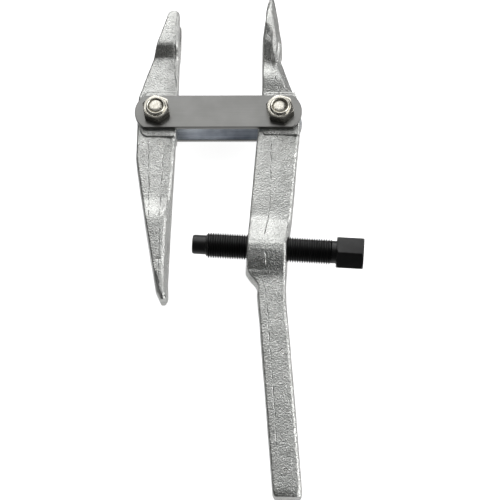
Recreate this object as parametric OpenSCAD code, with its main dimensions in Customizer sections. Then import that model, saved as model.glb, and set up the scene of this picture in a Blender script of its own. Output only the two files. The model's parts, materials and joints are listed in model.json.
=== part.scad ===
// Ball joint separator: a forged fork arm and a forged lever arm between two link plates,
// with a pressure screw through the lever arm that spreads the lower ends and closes the jaws.
// Millimetres. X across the jaws towards the screw head, Y towards the jaws, Z through the plates.

/* [Links] */
// distance between the two pivot bolts
pivot_spacing = 79; // [72:1:86]
// width of a link plate
plate_width = 23; // [21:0.5:26]
// thickness of a link plate
plate_thickness = 3; // [2.5:0.5:4]
// radius of a link plate's ends, about the bolt holes
plate_end_radius = 14; // [13:0.5:15]

/* [Arms] */
// thickness of both forged arms, front to back
arm_thickness = 13; // [12:0.5:14]
// how far the flat pads round the pivots stand above the forged faces
pad_height = 0.75; // [0.5:0.25:1.5]
// gap between a pad and the link plate over it
side_gap = 0.15; // [0.1:0.05:0.3]
// width of the fork from front to back
fork_width = 28; // [26:1:32]
// width of the slot between the fork's prongs
fork_slot_width = 15; // [13:0.5:17]
// depth of the fork slot from the prong tips
fork_slot_depth = 24; // [20:1:26]
// width of the press finger from front to back
finger_width = 28; // [24:1:30]
// width of the lower end of the fork arm, which the screw presses on
leg_width = 20; // [17:1:22]
// radius of the boss round the screw thread
boss_radius = 13.5; // [12.5:0.5:15]

/* [Pivot bolts] */
// diameter of the bolt shank
bolt_diameter = 10; // [8:1:10]
// size of the bolt heads and lock nuts across their flats
nut_across_flats = 16; // [15:0.5:17]
// height of a lock nut with its collar
nut_height = 8; // [7.5:0.5:10]
// height of a bolt head
bolt_head_height = 6.4; // [5:0.2:7]

/* [Pressure screw] */
// outside diameter of the screw thread
screw_diameter = 16; // [14:1:16]
// length of the threaded part with its chamfer and its neck
screw_thread_length = 81; // [72:1:84]
// diameter of the smooth nose
nose_diameter = 12; // [10.5:0.5:12.5]
// length of the smooth nose
nose_length = 9; // [8:0.5:10]
// size of the screw head across its flats
head_across_flats = 19; // [17:1:21]
// length of the screw head
head_length = 17; // [14:1:18]
// diameter of the ball held in the nose
ball_diameter = 6; // [5:0.5:6.5]

/* [Hidden] */
$fn = 96;
pad_half = arm_thickness / 2 + pad_height;
arm_half = arm_thickness / 2;
plate_in = pad_half + side_gap;
plate_out = plate_in + plate_thickness;
pivot_x = pivot_spacing / 2;
bolt_radius = bolt_diameter / 2;
// running clearance on the radius where an arm turns on its bolt
pivot_clearance = 0.05;
// clearance on the radius between the screw and its thread in the arm
screw_clearance = 0.05;
screw_radius = screw_diameter / 2;
screw_tilt = 3.5;
// the tip of the nose and the direction of the screw, from the middle between the pivots
screw_y = -88;
nose_x = -15;
nose_top = nose_x + pivot_x - 39.5;
// the finished frame: the lever's pivot on the plane that the bolt heads rest on
base_z = -plate_out - bolt_head_height;

// the piece to draw, or all of them

module placed() {
    translate([-pivot_x, 0, -base_z])
        children();
}

// a flat-sided outline seen from the side, mirrored about the middle plane and run through in X
module side_profile(half) {
    back = [for (i = [len(half) - 1:-1:0]) [half[i][0], -half[i][1]]];
    rotate([0, 0, 90])
        rotate([90, 0, 0])
            linear_extrude(height = 200, center = true)
                polygon(concat(half, back));
}

// a flat outline seen from the front, as deep as the widest arm
module front_profile(points) {
    linear_extrude(height = 60, center = true)
        polygon(points);
}

module hexagon(flats, height) {
    cylinder(h = height, r = flats / 2 / cos(30), $fn = 6);
}

// a hexagon whose corners are turned off at the far end
module chamfered_hexagon(flats, height, both_ends) {
    corner = flats / 2 / cos(30);
    intersection() {
        hexagon(flats, height);
        union() {
            translate([0, 0, both_ends ? 1 : 0])
                cylinder(h = height - (both_ends ? 2 : 1), r = corner + 1);
            translate([0, 0, height - 1.001])
                cylinder(h = 1.001, r1 = corner + 0.7, r2 = corner - 1);
            if (both_ends)
                cylinder(h = 1.001, r1 = corner - 1, r2 = corner + 0.7);
        }
    }
}

module link_plate(inner_z) {
    half = plate_width / 2;
    translate([0, 0, inner_z])
        difference() {
            union() {
                intersection() {
                    union() {
                        translate([-pivot_x, 0, 0])
                            cylinder(h = plate_thickness, r = plate_end_radius);
                        translate([pivot_x, 0, 0])
                            cylinder(h = plate_thickness, r = plate_end_radius);
                    }
                    translate([-150, -half, -1])
                        cube([300, plate_width, plate_thickness + 2]);
                }
                translate([-pivot_x, -half, 0])
                    cube([pivot_spacing, plate_width, plate_thickness]);
            }
            for (side = [-1, 1])
                translate([side * pivot_x, 0, -1])
                    cylinder(h = plate_thickness + 2, r = bolt_radius + 0.1);
        }
}

module front_link_plate() {
    color("silver")
        placed()
            link_plate(plate_in);
}

module rear_link_plate() {
    color("silver")
        placed()
            link_plate(-plate_out);
}

// head on the rear plate, plain shank through plates and arm, threaded end in the nut
module pivot_bolt(x) {
    thread_end = plate_out + nut_height - 0.5;
    translate([x, 0, 0]) {
        translate([0, 0, -plate_out])
            mirror([0, 0, 1])
                rotate([0, 0, 20])
                    chamfered_hexagon(nut_across_flats, bolt_head_height, false);
        translate([0, 0, -plate_out - 1])
            cylinder(h = 2 * plate_out + 1, r = bolt_radius);
        translate([0, 0, plate_out - 0.5])
            cylinder(h = nut_height - 0.9, r = bolt_radius - 0.05);
        translate([0, 0, thread_end - 0.901])
            cylinder(h = 0.901, r1 = bolt_radius - 0.05, r2 = bolt_radius - 0.95);
    }
}

module fork_pivot_bolt() {
    color("silver")
        placed()
            pivot_bolt(-pivot_x);
}

module lever_pivot_bolt() {
    color("silver")
        placed()
            pivot_bolt(pivot_x);
}

// hexagon with a round collar, hollowed for the plastic ring under the collar's lip
module lock_nut(x, turn) {
    hex_height = nut_height - 2;
    collar = nut_across_flats / 2 - 1.3;
    translate([x, 0, plate_out])
        difference() {
            union() {
                rotate([0, 0, turn])
                    chamfered_hexagon(nut_across_flats, hex_height, true);
                cylinder(h = nut_height - 0.8, r = collar);
                translate([0, 0, nut_height - 0.801])
                    cylinder(h = 0.801, r1 = collar, r2 = collar - 0.8);
            }
            translate([0, 0, -1])
                cylinder(h = nut_height + 2, r = bolt_radius);
            translate([0, 0, nut_height - 3])
                cylinder(h = 2.4, r = bolt_radius + 0.9);
            translate([0, 0, nut_height - 1])
                cylinder(h = 2, r = bolt_radius + 0.3);
        }
}

module fork_lock_nut() {
    color("lightgray")
        placed()
            lock_nut(-pivot_x, 40);
}

module lever_lock_nut() {
    color("lightgray")
        placed()
            lock_nut(pivot_x, 46);
}

// the plastic ring that grips the end of the bolt
module nut_insert(x) {
    translate([x, 0, plate_out + nut_height - 2.95])
        difference() {
            cylinder(h = 2.3, r = bolt_radius + 0.85);
            translate([0, 0, -1])
                cylinder(h = 5, r = bolt_radius - 0.03);
        }
}

module fork_nut_insert() {
    color("white")
        placed()
            nut_insert(-pivot_x);
}

module lever_nut_insert() {
    color("white")
        placed()
            nut_insert(pivot_x);
}

module pivot_bore() {
    translate([0, 0, -30])
        cylinder(h = 60, r = bolt_radius + pivot_clearance);
}

// wedge-shaped forked jaw above the pivot, tapering leg with a widened end below it
module fork_arm_shape() {
    fork_half = fork_width / 2;
    leg_half = leg_width / 2;
    slot_radius = fork_slot_width / 2;
    slot_y = 73 - fork_slot_depth + slot_radius;
    difference() {
        intersection() {
            front_profile([
                [7, 73], [12, 73], [13, 71.5], [13, -5], [12.5, -15],
                [11.5, -60], [10.5, -115], [11, -125], [10, -127],
                [6, -127], [3, -121], [-1, -100], [-6.5, -70],
                [-12, -38], [-13, -30], [-13, 13], [3.5, 66], [5, 71]
            ]);
            side_profile([
                [73, fork_half - 2], [71, fork_half], [47.5, fork_half], [43, arm_half],
                [17, arm_half], [16, pad_half], [-16, pad_half], [-17, arm_half],
                [-55, arm_half], [-73, leg_half], [-122, leg_half], [-127, leg_half - 2]
            ]);
        }
        pivot_bore();
        translate([-30, slot_y, 0])
            rotate([0, 90, 0])
                cylinder(h = 60, r = slot_radius);
        translate([-30, slot_y, -slot_radius])
            cube([60, 60, fork_slot_width]);
    }
}

module fork_arm() {
    color("gainsboro")
        placed()
            translate([-pivot_x, 0, 0])
                fork_arm_shape();
}

// along the screw: the tip of the nose at 0, the head at the far end
module along_screw() {
    translate([nose_top, screw_y, 0])
        rotate([0, 0, -screw_tilt])
            rotate([0, 90, 0])
                children();
}

// pointed press finger above the pivot, threaded boss and long handle below it
module lever_arm_shape() {
    front_profile([
        [-6.5, 84], [-5, 84], [-3.5, 77], [-1.8, 70], [0, 61], [1.2, 55], [1.2, 40],
        [3, 34], [7.5, 21], [10.5, 12], [13, 4], [13, -10], [12, -20], [8, -72],
        [6.8, -82], [5.3, -90], [5, -106], [4.4, -117], [4.7, -128], [8.3, -169],
        [14.2, -244], [14, -249], [13, -250], [-2, -250], [-3.3, -248], [-4.8, -230],
        [-12.3, -140], [-13.8, -124], [-15, -119], [-20, -112], [-21, -108],
        [-19.6, -80], [-15.4, -21], [-12, 18], [-12, 47], [-11.3, 52],
        [-9.5, 72], [-8, 79]
    ]);
}

module lever_arm_side() {
    finger_half = finger_width / 2;
    side_profile([
        [84, finger_half - 3], [78, finger_half - 1], [70, finger_half], [51, finger_half],
        [43, arm_half + 4], [34, arm_half], [17, arm_half], [16, pad_half],
        [-16, pad_half], [-17, arm_half], [-246, arm_half], [-250, arm_half - 2]
    ]);
}

// the barrel round the thread, run out into the flat faces by slopes
module screw_boss() {
    along_screw()
        union() {
            translate([0, 0, -20])
                cylinder(h = 120, r = boss_radius);
            translate([0, 0, -20])
                linear_extrude(height = 120)
                    polygon([
                        [-arm_half + 0.2, -18.5], [-boss_radius * 0.86, -boss_radius * 0.5],
                        [-boss_radius * 0.86, boss_radius * 0.5], [-arm_half + 0.2, 18.5],
                        [arm_half - 0.2, 18.5], [boss_radius * 0.86, boss_radius * 0.5],
                        [boss_radius * 0.86, -boss_radius * 0.5], [arm_half - 0.2, -18.5]
                    ]);
        }
}

module lever_arm() {
    color("gainsboro")
        placed()
            difference() {
                intersection() {
                    translate([pivot_x, 0, 0])
                        lever_arm_shape();
                    union() {
                        translate([pivot_x, 0, 0])
                            lever_arm_side();
                        screw_boss();
                    }
                }
                translate([pivot_x, 0, 0])
                    pivot_bore();
                along_screw()
                    translate([0, 0, -20])
                        cylinder(h = 140, r = screw_radius);
            }
}

// smooth nose, threaded shank with a turned neck, hexagon head
module pressure_screw() {
    ball_radius = ball_diameter / 2;
    thread_radius = screw_radius - screw_clearance;
    thread_end = nose_length + screw_thread_length;
    nose_radius = nose_diameter / 2;
    color("dimgray")
        placed()
            along_screw()
                difference() {
                    union() {
                        translate([0, 0, 0.3])
                            cylinder(h = 1.5, r1 = nose_radius - 1.2, r2 = nose_radius);
                        translate([0, 0, 1.799])
                            cylinder(h = nose_length, r = nose_radius);
                        translate([0, 0, nose_length])
                            cylinder(h = 1.5, r1 = nose_radius, r2 = thread_radius);
                        translate([0, 0, nose_length + 1.499])
                            cylinder(h = screw_thread_length - 4.5, r = thread_radius);
                        translate([0, 0, thread_end - 4])
                            cylinder(h = 5, r = thread_radius - 1);
                        translate([0, 0, thread_end])
                            rotate([0, 0, 23])
                                chamfered_hexagon(head_across_flats, head_length, true);
                    }
                    translate([0, 0, ball_radius])
                        sphere(r = ball_radius + 0.05);
                    translate([0, 0, ball_radius])
                        cylinder(h = ball_radius + 1, r = 1.5);
                }
}

// hardened ball that takes the thrust, held by the rolled lip of the nose
module thrust_ball() {
    color("silver")
        placed()
            along_screw()
                translate([0, 0, ball_diameter / 2])
                    sphere(r = ball_diameter / 2);
}

front_link_plate();
rear_link_plate();
fork_pivot_bolt();
lever_pivot_bolt();
fork_lock_nut();
lever_lock_nut();
fork_nut_insert();
lever_nut_insert();
fork_arm();
lever_arm();
pressure_screw();
thrust_ball();
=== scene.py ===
"""Ball joint separator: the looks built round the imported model.

Two drop forgings, a forked arm and a long lever arm, turn on two bolts between a pair of link plates.
A black pressure screw runs through the lever arm. Every size is in metres unless its name says mm.
"""

import sys

import json
import logging
import math
from collections.abc import Callable, Iterator, Sequence
from contextlib import contextmanager
from dataclasses import dataclass, field
from enum import Enum

import bpy
import numpy as np
from mathutils import Matrix, Vector


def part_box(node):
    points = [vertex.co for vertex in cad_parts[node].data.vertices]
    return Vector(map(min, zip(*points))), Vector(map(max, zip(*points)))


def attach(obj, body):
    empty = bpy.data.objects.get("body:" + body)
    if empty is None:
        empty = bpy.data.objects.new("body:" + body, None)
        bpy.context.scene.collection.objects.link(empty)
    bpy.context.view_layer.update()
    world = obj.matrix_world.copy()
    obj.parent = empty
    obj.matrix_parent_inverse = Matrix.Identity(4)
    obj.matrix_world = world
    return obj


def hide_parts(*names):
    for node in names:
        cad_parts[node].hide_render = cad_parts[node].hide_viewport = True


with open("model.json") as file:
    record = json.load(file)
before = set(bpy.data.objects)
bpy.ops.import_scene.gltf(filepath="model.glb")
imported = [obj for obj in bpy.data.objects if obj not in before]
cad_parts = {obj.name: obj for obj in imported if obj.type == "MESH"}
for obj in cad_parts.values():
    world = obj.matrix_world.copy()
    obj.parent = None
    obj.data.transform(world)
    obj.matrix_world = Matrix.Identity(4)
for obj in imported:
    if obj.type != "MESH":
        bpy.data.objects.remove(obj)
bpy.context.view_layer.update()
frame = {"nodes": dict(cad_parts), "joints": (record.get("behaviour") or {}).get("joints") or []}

log = logging.getLogger("ball_joint_separator")
MM = 0.001
Object = bpy.types.Object
Point = tuple[float, float]


class Slot(Enum):
    """The record's material slots."""

    FORGING = "zinc_plated_forging"
    PLATE = "satin_plated_plate"
    FASTENER = "plated_fastener"
    NYLON = "white_nylon"
    BLACK = "black_oxide_steel"
    BALL = "hardened_ball"


class Body(Enum):
    """The CAD bodies that the pieces ride on."""

    LINKS = "link_frame"
    FORK = "fork_arm"
    LEVER = "lever_arm"
    THRUST = "screw_thrust"
    SCREW = "pressure_screw"


# ---------------------------------------------------------------- modelling by hand


def deselect() -> None:
    """Leave object mode with nothing selected."""
    if bpy.context.object is not None and bpy.context.object.mode != "OBJECT":
        bpy.ops.object.mode_set(mode="OBJECT")
    bpy.ops.object.select_all(action="DESELECT")


def pick(piece: Object) -> Object:
    """Make one piece the only selected and active one.

    Args:
        piece: the object to work on.

    Returns:
        The same object.
    """
    deselect()
    piece.select_set(True)
    bpy.context.view_layer.objects.active = piece
    return piece


@contextmanager
def editing(piece: Object, kind: str = "VERT") -> Iterator[None]:
    """Work on a piece in edit mode.

    Args:
        piece: the object to work on.
        kind: what can be selected there, VERT, EDGE or FACE.
    """
    pick(piece)
    bpy.ops.object.mode_set(mode="EDIT")
    bpy.ops.mesh.select_mode(type=kind)
    yield
    bpy.ops.object.mode_set(mode="OBJECT")


def choose(piece: Object, kind: str, rule: Callable[[bpy.types.bpy_struct], bool]) -> None:
    """Select the points, edges or faces of a piece that a rule picks out.

    Args:
        piece: the object.
        kind: VERT, EDGE or FACE.
        rule: tells whether one of them is selected.
    """
    with editing(piece, kind):
        bpy.ops.mesh.select_all(action="DESELECT")
    mesh = piece.data
    for element in {"VERT": mesh.vertices, "EDGE": mesh.edges, "FACE": mesh.polygons}[kind]:
        element.select = rule(element)


def added(name: str) -> Object:
    """Name the primitive that was just added, and set its object back to the origin.

    Args:
        name: the name of the piece.

    Returns:
        The new object.
    """
    piece = bpy.context.object
    piece.name = name
    piece.data.name = name
    bpy.ops.object.transform_apply(location=True, rotation=True, scale=True)
    return piece


def finish_with(piece: Object, kind: str, **settings: object) -> None:
    """Add a modifier, set it up and apply it.

    Args:
        piece: the object that gets it.
        kind: the modifier's type.
        settings: its settings by name.
    """
    pick(piece)
    bpy.ops.object.modifier_add(type=kind)
    modifier = piece.modifiers[-1]
    for key, value in settings.items():
        setattr(modifier, key, value)
    bpy.ops.object.modifier_apply(modifier=modifier.name)


def combine(piece: Object, tool: Object, operation: str) -> None:
    """Join, cut or keep the overlap of a piece with a tool, and throw the tool away.

    Args:
        piece: the object that changes.
        tool: the closed mesh that it is combined with.
        operation: UNION, DIFFERENCE or INTERSECT.
    """
    finish_with(piece, "BOOLEAN", operation=operation, object=tool, solver="EXACT")
    bpy.data.objects.remove(tool)


def place(piece: Object, where: Matrix) -> None:
    """Put a piece in its place and set its object back to the origin.

    Args:
        piece: the object, made about the origin.
        where: its place in the row frame.
    """
    pick(piece)
    piece.matrix_world = where
    bpy.ops.object.transform_apply(location=True, rotation=True, scale=True)


def copy_of_node(node: str, name: str) -> Object:
    """Copy a CAD node's mesh and merge its loose triangles.

    Args:
        node: the CAD node.
        name: the new piece's name.

    Returns:
        The copy, at the origin.
    """
    mesh = frame["nodes"][node].data.copy()
    piece = bpy.data.objects.new(name, mesh)
    mesh.name = name
    bpy.context.scene.collection.objects.link(piece)
    mesh.materials.clear()
    merge_doubles(piece)
    return piece


def merge_doubles(piece: Object) -> None:
    """Merge the points of a piece that lie on each other.

    Args:
        piece: the object.
    """
    with editing(piece):
        bpy.ops.mesh.select_all(action="SELECT")
        bpy.ops.mesh.remove_doubles(threshold=0.002 * MM)


def break_edges(piece: Object, width_mm: float, segments: int, sharper_than: float) -> None:
    """Break the sharp edges of a piece.

    Args:
        piece: the object.
        width_mm: the width of the bevel, in millimetres.
        segments: how many facets it has.
        sharper_than: the least angle of an edge that is broken, in degrees.
    """
    finish_with(piece, "BEVEL", width=width_mm * MM, segments=segments, limit_method="ANGLE",
                angle_limit=math.radians(sharper_than))


def block(name: str, low: Vector, high: Vector) -> Object:
    """Add a block between two corners, in the row frame.

    Args:
        name: the block's name.
        low: its lowest corner.
        high: its highest corner.

    Returns:
        The block.
    """
    deselect()
    bpy.ops.mesh.primitive_cube_add(size=1, location=(low + high) / 2, scale=high - low)
    return added(name)


def turned(name: str, rings: Sequence[Point], sides: int = 64) -> Object:
    """Turn a solid about Z, as on a lathe, from a disc that is extruded ring by ring.

    Args:
        name: the piece's name.
        rings: radius and height of each ring, in millimetres, from the first face to the last.
        sides: the number of sides of the round.

    Returns:
        The closed solid.
    """
    deselect()
    radius, height = rings[0]
    bpy.ops.mesh.primitive_circle_add(vertices=sides, radius=radius * MM, fill_type="NGON",
                                      location=(0, 0, height * MM))
    piece = added(name)
    with editing(piece):
        bpy.ops.mesh.select_all(action="SELECT")
        for next_radius, next_height in rings[1:]:
            rise = (next_height - height) * MM
            bpy.ops.mesh.extrude_region_move(TRANSFORM_OT_translate={"value": (0, 0, rise)})
            grow = next_radius / radius
            bpy.ops.transform.resize(value=(grow, grow, 1), center_override=(0, 0, next_height * MM))
            radius, height = next_radius, next_height
        bpy.ops.mesh.select_all(action="SELECT")
        bpy.ops.mesh.normals_make_consistent(inside=False)
    return piece


def hexagon_bar(name: str, flats: float, low: float, high: float, turn: float) -> Object:
    """Make a hexagon whose corners are turned off at both ends, with lightly broken edges.

    Args:
        name: the piece's name.
        flats: the size across flats, in millimetres.
        low: the height of the first end, in millimetres.
        high: the height of the second end, in millimetres.
        turn: how far it is turned about Z, in degrees.

    Returns:
        The hexagon, about the Z axis.
    """
    corner = flats / 2 / math.cos(math.pi / 6)
    face = flats / 2 * 0.95
    outside = corner + 0.2
    fall = (outside - face) * math.tan(math.radians(30))
    deselect()
    bpy.ops.mesh.primitive_cylinder_add(vertices=6, radius=corner * MM, depth=(high - low) * MM,
                                        location=(0, 0, (low + high) / 2 * MM),
                                        rotation=(0, 0, math.radians(turn - 90)))
    piece = added(name)
    break_edges(piece, 0.25, 2, 40)
    low, high = low - 0.01, high + 0.01
    envelope = turned("chamfer", [(face, low), (outside, low + fall), (outside, high - fall), (face, high)])
    combine(piece, envelope, "INTERSECT")
    return piece


def move_points(piece: Object, rule: Callable[[np.ndarray], np.ndarray]) -> None:
    """Work a surface by a rule that moves its points.

    Args:
        piece: the object.
        rule: takes the points and returns the moved points.
    """
    mesh = piece.data
    points = np.zeros(len(mesh.vertices) * 3, np.float32)
    mesh.vertices.foreach_get("co", points)
    moved = rule(points.reshape(-1, 3).astype(float))
    mesh.vertices.foreach_set("co", moved.astype(np.float32).ravel())
    mesh.update()


def read_table(table: Sequence[Point], where: np.ndarray) -> np.ndarray:
    """Read a table of places and values, straight between its rows.

    Args:
        table: the rows, with their places rising.
        where: the places that are read.

    Returns:
        The value at each place.
    """
    places, values = zip(*table)
    return np.interp(where, places, values)


def smooth_step(low: float, high: float, value: np.ndarray) -> np.ndarray:
    """Rise smoothly from 0 at low to 1 at high.

    Args:
        low: where the rise starts.
        high: where it ends.
        value: where it is read.

    Returns:
        The share of the rise at each value.
    """
    share = np.clip((value - low) / (high - low), 0.0, 1.0)
    return share * share * (3.0 - 2.0 * share)


def shade(piece: Object, angle: float = 35.0) -> None:
    """Shade a piece smooth, apart from edges sharper than an angle.

    Args:
        piece: the object.
        angle: the sharpest edge that is still smooth, in degrees.
    """
    pick(piece)
    bpy.ops.object.shade_smooth_by_angle(angle=math.radians(angle))


def settle(piece: Object, body: Body, slot: Slot, finish: "Finish", *nodes: str) -> None:
    """Give a finished piece its finish and its body, and hide the CAD nodes it stands for.

    Args:
        piece: the finished piece.
        body: the CAD body it rides on.
        slot: the record's material slot; not used.
        finish: the surface finish.
        nodes: the CAD nodes that it replaces.
    """
    piece.data.materials.clear()
    piece.data.materials.append(finish.material())
    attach(piece, body.value)
    if nodes:
        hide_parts(*nodes)
    log.info("%s: %d faces on %s", piece.name, len(piece.data.polygons), body.value)


# ---------------------------------------------------------------- finishes


def linear(colour: str) -> tuple[float, float, float, float]:
    """Turn an sRGB hex colour into a linear one.

    Args:
        colour: six hex digits.

    Returns:
        Red, green, blue and alpha, linear.
    """
    parts = [int(colour[i:i + 2], 16) / 255 for i in (0, 2, 4)]
    red, green, blue = (p / 12.92 if p <= 0.04045 else ((p + 0.055) / 1.055) ** 2.4 for p in parts)
    return red, green, blue, 1.0


def add_node(tree: bpy.types.NodeTree, kind: str, inputs: dict[str | int, object] | None = None,
             **settings: object) -> bpy.types.Node:
    """Add one node with its settings, its values and its links.

    Args:
        tree: the node tree.
        kind: the node's type.
        inputs: a value, or the socket to link from, for each input by name or number.
        settings: the node's own settings.

    Returns:
        The node.
    """
    node = tree.nodes.new(kind)
    for key, value in settings.items():
        setattr(node, key, value)
    for key, value in (inputs or {}).items():
        if isinstance(value, bpy.types.NodeSocket):
            tree.links.new(value, node.inputs[key])
        else:
            node.inputs[key].default_value = value
    return node


@dataclass(frozen=True)
class Finish:
    """A surface finish, made once as a material."""

    name: str

    def material(self) -> bpy.types.Material:
        """Return the finish's material, making it the first time."""
        found = bpy.data.materials.get(self.name)
        if found is not None:
            return found
        made = bpy.data.materials.new(self.name)
        made.use_nodes = True
        made.node_tree.nodes.clear()
        shader = self.dress(made.node_tree)
        add_node(made.node_tree, "ShaderNodeOutputMaterial", {"Surface": shader.outputs[0]})
        return made

    def dress(self, tree: bpy.types.NodeTree) -> bpy.types.Node:
        """Build the finish in a node tree.

        Args:
            tree: the empty node tree.

        Returns:
            The shader node.
        """
        raise NotImplementedError

    @staticmethod
    def blend(tree: bpy.types.NodeTree, factor: bpy.types.NodeSocket, stops: Sequence[tuple[float, str]],
              ) -> bpy.types.NodeSocket:
        """Turn a factor into a colour along a ramp.

        Args:
            tree: the node tree.
            factor: the socket that drives the ramp.
            stops: a place from 0 to 1 and an sRGB hex colour for each stop.

        Returns:
            The colour socket.
        """
        ramp = add_node(tree, "ShaderNodeValToRGB", {"Fac": factor})
        elements = ramp.color_ramp.elements
        while len(elements) < len(stops):
            elements.new(0.5)
        for element, (where, colour) in zip(elements, stops):
            element.position = where
            element.color = linear(colour)
        return ramp.outputs["Color"]


@dataclass(frozen=True)
class PlatedForging(Finish):
    """Drop-forged steel, shot-blasted and bright zinc plated: a bumpy grain under a clean bright metal."""

    name: str = "Shot-blasted zinc-plated forging"
    bright: str = "E0E1DE"
    dull: str = "CDCECB"
    # the colour that the low spots of the bumped grain are darkened to: painted shade in the dents
    dent_shade: str = "A0A1A0"
    # dents left by the shot and the scale, and the finer grit between them
    dent_mm: float = 1.0
    grit_mm: float = 0.6
    # slow change from one part of the forging to another
    cloud_mm: float = 12.0
    relief_mm: float = 0.46
    roughness_low: float = 0.25
    roughness_high: float = 0.38
    # lap lines where the steel folded in the die, each a run of X, Y points in millimetres
    laps: tuple[tuple[Point, ...], ...] = ()
    scratches: tuple[tuple[Point, ...], ...] = ()
    lap_width_mm: float = 0.42
    # how far and how often a line strays, and the length of the stretches where it fades
    stray_mm: float = 1.9
    wander_mm: float = 6.0
    fade_mm: float = 3.5

    def lines(self, tree: bpy.types.NodeTree, where: bpy.types.NodeSocket, wander: bpy.types.NodeSocket,
              runs: Sequence[Sequence[Point]]) -> bpy.types.NodeSocket | float:
        """Mark wandering lines on the faces.

        Args:
            tree: the node tree.
            where: the object coordinates.
            wander: a noise from 0 to 1 that makes the lines stray.
            runs: the lines, each a run of points.

        Returns:
            A socket that is 1 on the lines and 0 away from them.
        """
        total: bpy.types.NodeSocket | float = 0.0
        for (x0, y0), (x1, y1) in [ends for run in runs for ends in zip(run, run[1:])]:
            start, reach = Vector((x0, y0, 0)) * MM, Vector((x1 - x0, y1 - y0, 0)) * MM
            along, length = reach.normalized(), reach.length / 2
            local = add_node(tree, "ShaderNodeVectorMath", {0: where, 1: start}, operation="SUBTRACT")
            off = add_node(tree, "ShaderNodeVectorMath", {0: local.outputs[0], 1: (-along.y, along.x, 0)},
                           operation="DOT_PRODUCT")
            stray = add_node(tree, "ShaderNodeMath",
                             {0: wander, 1: self.stray_mm * MM, 2: off.outputs["Value"]},
                             operation="MULTIPLY_ADD")
            middle = add_node(tree, "ShaderNodeMath", {0: stray.outputs[0], 1: self.stray_mm / 2 * MM},
                              operation="SUBTRACT")
            apart = add_node(tree, "ShaderNodeMath", {0: middle.outputs[0]}, operation="ABSOLUTE")
            near = add_node(tree, "ShaderNodeMapRange",
                            {"Value": apart.outputs[0], "From Min": 0.0, "From Max": self.lap_width_mm * MM,
                             "To Min": 1.0, "To Max": 0.0}, interpolation_type="SMOOTHSTEP")
            travel = add_node(tree, "ShaderNodeVectorMath", {0: local.outputs[0], 1: along},
                              operation="DOT_PRODUCT")
            half = add_node(tree, "ShaderNodeMath", {0: travel.outputs["Value"], 1: length},
                            operation="SUBTRACT")
            span = add_node(tree, "ShaderNodeMath", {0: half.outputs[0]}, operation="ABSOLUTE")
            within = add_node(tree, "ShaderNodeMapRange",
                              {"Value": span.outputs[0], "From Min": length, "From Max": length + 0.6 * MM,
                               "To Min": 1.0, "To Max": 0.0})
            mark = add_node(tree, "ShaderNodeMath", {0: near.outputs[0], 1: within.outputs[0]},
                            operation="MULTIPLY")
            total = add_node(tree, "ShaderNodeMath", {0: mark.outputs[0], 1: total},
                             operation="MAXIMUM").outputs[0]
        return total

    def dress(self, tree: bpy.types.NodeTree) -> bpy.types.Node:
        """Build grain, clouding, painted shade in the grain's dents, worn edges, lap lines darkened with dirt
        and painted shade, and scratches.

        Args:
            tree: the empty node tree.

        Returns:
            The shader node.
        """
        where = add_node(tree, "ShaderNodeTexCoord").outputs["Object"]
        dent = add_node(tree, "ShaderNodeTexNoise",
                        {"Vector": where, "Scale": 1 / (self.dent_mm * MM), "Detail": 2.0, "Roughness": 0.6})
        grit = add_node(tree, "ShaderNodeTexNoise",
                        {"Vector": where, "Scale": 1 / (self.grit_mm * MM), "Detail": 1.0, "Roughness": 0.5})
        cloud = add_node(tree, "ShaderNodeTexNoise",
                         {"Vector": where, "Scale": 1 / (self.cloud_mm * MM), "Detail": 4.0,
                          "Roughness": 0.6})
        relief = add_node(tree, "ShaderNodeMath", {0: grit.outputs["Fac"], 1: 0.4, 2: dent.outputs["Fac"]},
                          operation="MULTIPLY_ADD")
        tone = self.blend(tree, cloud.outputs["Fac"], [(0.32, self.dull), (0.58, self.bright)])
        # darker where the grain's bump is low: painted shade in the dents
        dent_shading = self.blend(tree, dent.outputs["Fac"], [(0.34, self.dent_shade), (0.46, "FFFFFF")])
        colour = add_node(tree, "ShaderNodeMix", {"Factor": 0.3, 6: tone, 7: dent_shading},
                          data_type="RGBA", blend_type="MULTIPLY")
        edges = add_node(tree, "ShaderNodeNewGeometry")
        worn = add_node(tree, "ShaderNodeMapRange",
                        {"Value": edges.outputs["Pointiness"], "From Min": 0.53, "From Max": 0.62})
        rubbed = add_node(tree, "ShaderNodeMix", {"Factor": worn.outputs["Result"], 6: colour.outputs[2],
                                                  7: linear("F0F0EE")}, data_type="RGBA")
        dullness = add_node(tree, "ShaderNodeMapRange",
                            {"Value": cloud.outputs["Fac"], "From Min": 0.3, "From Max": 0.7,
                             "To Min": self.roughness_high, "To Max": self.roughness_low})
        wander = add_node(tree, "ShaderNodeTexNoise",
                          {"Vector": where, "Scale": 1 / (self.wander_mm * MM), "Detail": 3.0})
        broken = add_node(tree, "ShaderNodeTexNoise",
                          {"Vector": where, "Scale": 1 / (self.fade_mm * MM), "Detail": 2.0})
        shown = add_node(tree, "ShaderNodeMapRange", {"Value": broken.outputs["Fac"], "From Min": 0.40,
                                                      "From Max": 0.60, "To Min": 0.10, "To Max": 0.95})
        lap = add_node(tree, "ShaderNodeMath", {0: self.lines(tree, where, wander.outputs["Fac"], self.laps),
                                                1: shown.outputs[0]}, operation="MULTIPLY").outputs[0]
        scratch = self.lines(tree, where, wander.outputs["Fac"], self.scratches)
        folded = add_node(tree, "ShaderNodeMath", {0: lap, 1: -0.9, 2: relief.outputs[0]},
                          operation="MULTIPLY_ADD")
        raised = add_node(tree, "ShaderNodeMath", {0: scratch, 1: 0.45, 2: folded.outputs[0]},
                          operation="MULTIPLY_ADD")
        # the lap lines darkened to grey: dirt and painted shade in the folds
        lap_dirt_and_shade = add_node(tree, "ShaderNodeMix", {"Factor": lap, 6: rubbed.outputs[2], 7: linear("A2A3A1")},
                          data_type="RGBA")
        bump = add_node(tree, "ShaderNodeBump", {"Height": raised.outputs[0], "Strength": 1.0,
                                                 "Distance": self.relief_mm * MM})
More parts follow.
